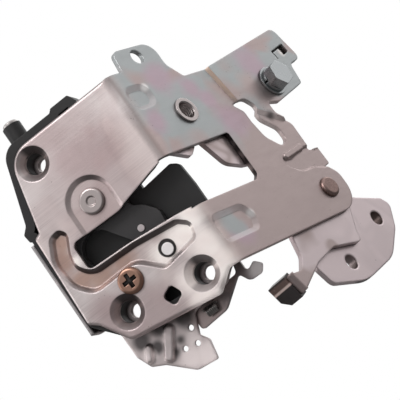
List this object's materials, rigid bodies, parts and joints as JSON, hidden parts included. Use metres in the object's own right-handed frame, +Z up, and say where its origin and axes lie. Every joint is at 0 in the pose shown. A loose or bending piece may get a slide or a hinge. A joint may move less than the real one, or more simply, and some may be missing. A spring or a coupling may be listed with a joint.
{
  "type": "sliding door lock",
  "caption": "Sliding door lock: folded steel plate with a side mouth, rotary claw on a big rivet, black housing, bolt arm and two swinging levers below.",
  "frame": {"origin": "on the axis of the upper fixing hole, at the rear face of the back plate", "axes": "+X along the face plate towards the open end of the mouth, +Y into the door away from the face plate, +Z up along the fold"},
  "size_m": [0.1348, 0.1174, 0.1463],
  "materials": {
    "zinc_plate": "zinc plated, brushed",
    "back_steel": "zinc plated",
    "lever_steel": "zinc plated, satin",
    "black_plastic": "moulded, satin",
    "black_coat": "dark coated steel",
    "pin_steel": "bright rivet",
    "brown_rivet": "heat browned rivet",
    "copper_screw": "yellow brown plated",
    "peg_white": "light plastic",
    "bolt_steel": "zinc plated bolt",
    "spring_steel": "spring wire",
    "cap_rubber": "glossy black rubber",
    "ferrule_metal": "bare end"
  },
  "bodies": {
    "lock_frame": {"latch_plate": "zinc_plate", "housing": "black_plastic", "inlet_ferrule": "ferrule_metal", "back_plate": "back_steel", "claw_pin": "pin_steel", "pawl_pin": "pin_steel", "claw_spring": "spring_steel", "pawl_spring": "spring_steel", "face_screw": "copper_screw", "lever_rivet": "brown_rivet", "threaded_bush": "pin_steel", "stop_tongue": "back_steel", "flat_washer": "bolt_steel", "spring_washer": "bolt_steel", "hex_bolt": "bolt_steel", "weld_nut": "bolt_steel"},
    "claw_body": {"claw": "black_coat", "claw_peg": "peg_white"},
    "pawl_body": {"pawl": "lever_steel"},
    "release_body": {"release_lever": "back_steel", "release_spring": "spring_steel"},
    "sector_body": {"sector_lever": "lever_steel"},
    "bell_body": {"bell_lever": "lever_steel", "tab_cap": "cap_rubber"},
    "link_body": {"link_lever": "lever_steel"}
  },
  "joints": [
    {"name": "claw_turn", "type": "hinge", "parent": "lock_frame", "child": "claw_body", "pos_m": [0.0123, -0.008, -0.0297], "axis": [0, -1, 0], "range_deg": [0, 55]},
    {"name": "pawl_turn", "type": "hinge", "parent": "lock_frame", "child": "pawl_body", "pos_m": [0.0277, -0.008, -0.0666], "axis": [0, -1, 0], "range_deg": [-7.5, 0]},
    {"name": "release_turn", "type": "hinge", "parent": "lock_frame", "child": "release_body", "pos_m": [0.0277, 0.0018, -0.0666], "axis": [0, -1, 0], "range_deg": [-6, 0]},
    {"name": "sector_turn", "type": "hinge", "parent": "lock_frame", "child": "sector_body", "pos_m": [0.08434, 0.06332, -0.0768], "axis": [0.8829, -0.4695, 0], "range_deg": [-20, 12]},
    {"name": "bell_turn", "type": "hinge", "parent": "lock_frame", "child": "bell_body", "pos_m": [0.08682, 0.06201, -0.0768], "axis": [0.8829, -0.4695, 0], "range_deg": [-6, 10]},
    {"name": "link_turn", "type": "hinge", "parent": "lock_frame", "child": "link_body", "pos_m": [0.06123, 0.01388, -0.0171], "axis": [0.8829, -0.4695, 0], "range_deg": [0, 12]}
  ]
}
